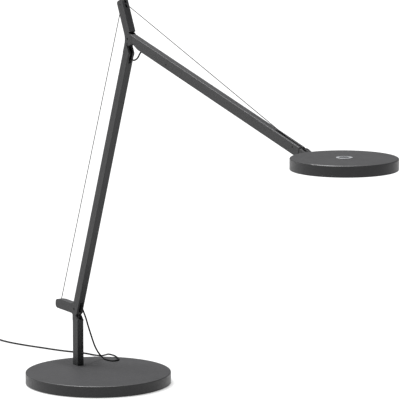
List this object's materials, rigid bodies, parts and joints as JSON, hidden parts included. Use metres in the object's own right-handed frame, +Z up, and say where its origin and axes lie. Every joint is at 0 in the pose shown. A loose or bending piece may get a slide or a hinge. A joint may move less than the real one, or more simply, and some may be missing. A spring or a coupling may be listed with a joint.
{
  "type": "balanced-arm desk lamp",
  "caption": "Desk lamp with a heavy round base, a short stem, two hinged arms, a tension wire over a raked mast, and a flat round light head.",
  "frame": {"origin": "on the desk under the middle of the stem", "axes": "+Z up, +X the way the arms reach towards the head, +Y to the left seen from behind"},
  "size_m": [1.2461, 0.24, 0.6415],
  "materials": {
    "paint": "matte",
    "iron": "rough",
    "steel": "satin",
    "aluminium": "satin",
    "brass": "satin",
    "rubber": "matte",
    "plastic": "matte",
    "opal": "satin",
    "led": "gloss"
  },
  "bodies": {
    "base": {"base_cover": "paint", "base_weight": "iron", "base_pad": "rubber", "base_screws": "steel", "swivel_bush": "plastic", "power_cord_run": "rubber", "cord_coil": "rubber", "coil_tie": "plastic", "power_cord_tail": "rubber", "adaptor_boot": "rubber", "power_adaptor": "plastic", "adaptor_prongs": "brass"},
    "stem": {"swivel_spindle": "steel", "swivel_nut": "steel", "swivel_washer": "steel", "stem_tube": "paint", "stem_head": "paint", "stem_screw": "steel", "lower_pivot_pin": "steel", "lower_friction_discs": "plastic", "wire_anchor": "brass", "power_cord_drop": "rubber"},
    "back_wire": {"back_wire": "steel"},
    "lower_arm": {"lower_arm_tube": "paint", "lower_tongue": "steel", "lower_lead": "rubber", "elbow_head": "paint", "elbow_pin": "steel", "elbow_friction_discs": "plastic", "mast_roller_pin": "steel", "power_cord_neck": "rubber"},
    "mast_roller": {"mast_roller": "plastic"},
    "front_wire": {"front_wire": "steel"},
    "upper_arm": {"upper_arm_tube": "paint", "upper_tongue": "steel", "upper_lead": "rubber", "elbow_loop": "rubber", "arm_roller_pin": "steel", "balance_spring": "steel", "spring_caps": "steel", "spring_pin": "steel", "spring_wire_link": "steel", "head_fork": "paint", "head_pin": "steel", "head_friction_discs": "plastic", "head_loop": "rubber"},
    "arm_roller": {"arm_roller": "plastic"},
    "head": {"head_neck": "paint", "neck_screws": "steel", "head_shell": "paint", "heat_spreader": "aluminium", "led_board": "aluminium", "led_chips": "led", "diffuser": "opal", "bezel_ring": "paint", "touch_ring": "aluminium", "touch_cap": "plastic", "driver_board": "plastic", "head_lead": "rubber"}
  },
  "joints": [
    {"name": "base_swivel", "type": "hinge", "parent": "base", "child": "stem", "pos_m": [0, 0, 0.019], "axis": [0, 0, 1], "range_deg": [-90, 90], "deforming": ["power_cord_drop"]},
    {"name": "lower_arm_pitch", "type": "hinge", "parent": "stem", "child": "lower_arm", "pos_m": [-0.0035, 0, 0.1133], "axis": [0, 1, 0], "range_deg": [-20, 45], "deforming": ["back_wire", "power_cord_neck"]},
    {"name": "elbow_pitch", "type": "hinge", "parent": "lower_arm", "child": "upper_arm", "pos_m": [0.16516, 0, 0.57921], "axis": [0, 1, 0], "range_deg": [-26, 45], "deforming": ["front_wire", "elbow_loop"]},
    {"name": "head_tilt", "type": "hinge", "parent": "upper_arm", "child": "head", "pos_m": [0.65038, 0, 0.44894], "axis": [0, 1, 0], "range_deg": [-50, 60], "deforming": ["head_loop"]},
    {"name": "back_wire_swing", "type": "hinge", "parent": "stem", "child": "back_wire", "pos_m": [-0.0551, 0, 0.1153], "axis": [0, 1, 0], "range_deg": [-21, 45]},
    {"name": "mast_roller_spin", "type": "hinge", "parent": "lower_arm", "child": "mast_roller", "pos_m": [0.14444, 0, 0.63263], "axis": [0, 1, 0], "range_deg": [-551, 246]},
    {"name": "front_wire_swing", "type": "hinge", "parent": "lower_arm", "child": "front_wire", "pos_m": [0.14444, 0, 0.63263], "axis": [0, 1, 0], "range_deg": [-26, 43]},
    {"name": "arm_roller_spin", "type": "hinge", "parent": "upper_arm", "child": "arm_roller", "pos_m": [0.62213, 0, 0.45941], "axis": [0, 1, 0], "range_deg": [-570, 330]}
  ],
  "couplings": [
    {"joint": "back_wire_swing", "follows": "lower_arm_pitch", "ratio": 0.97},
    {"joint": "mast_roller_spin", "follows": "lower_arm_pitch", "ratio": -12.21},
    {"joint": "front_wire_swing", "follows": "elbow_pitch", "ratio": 0.926},
    {"joint": "arm_roller_spin", "follows": "elbow_pitch", "ratio": -12.64}
  ]
}
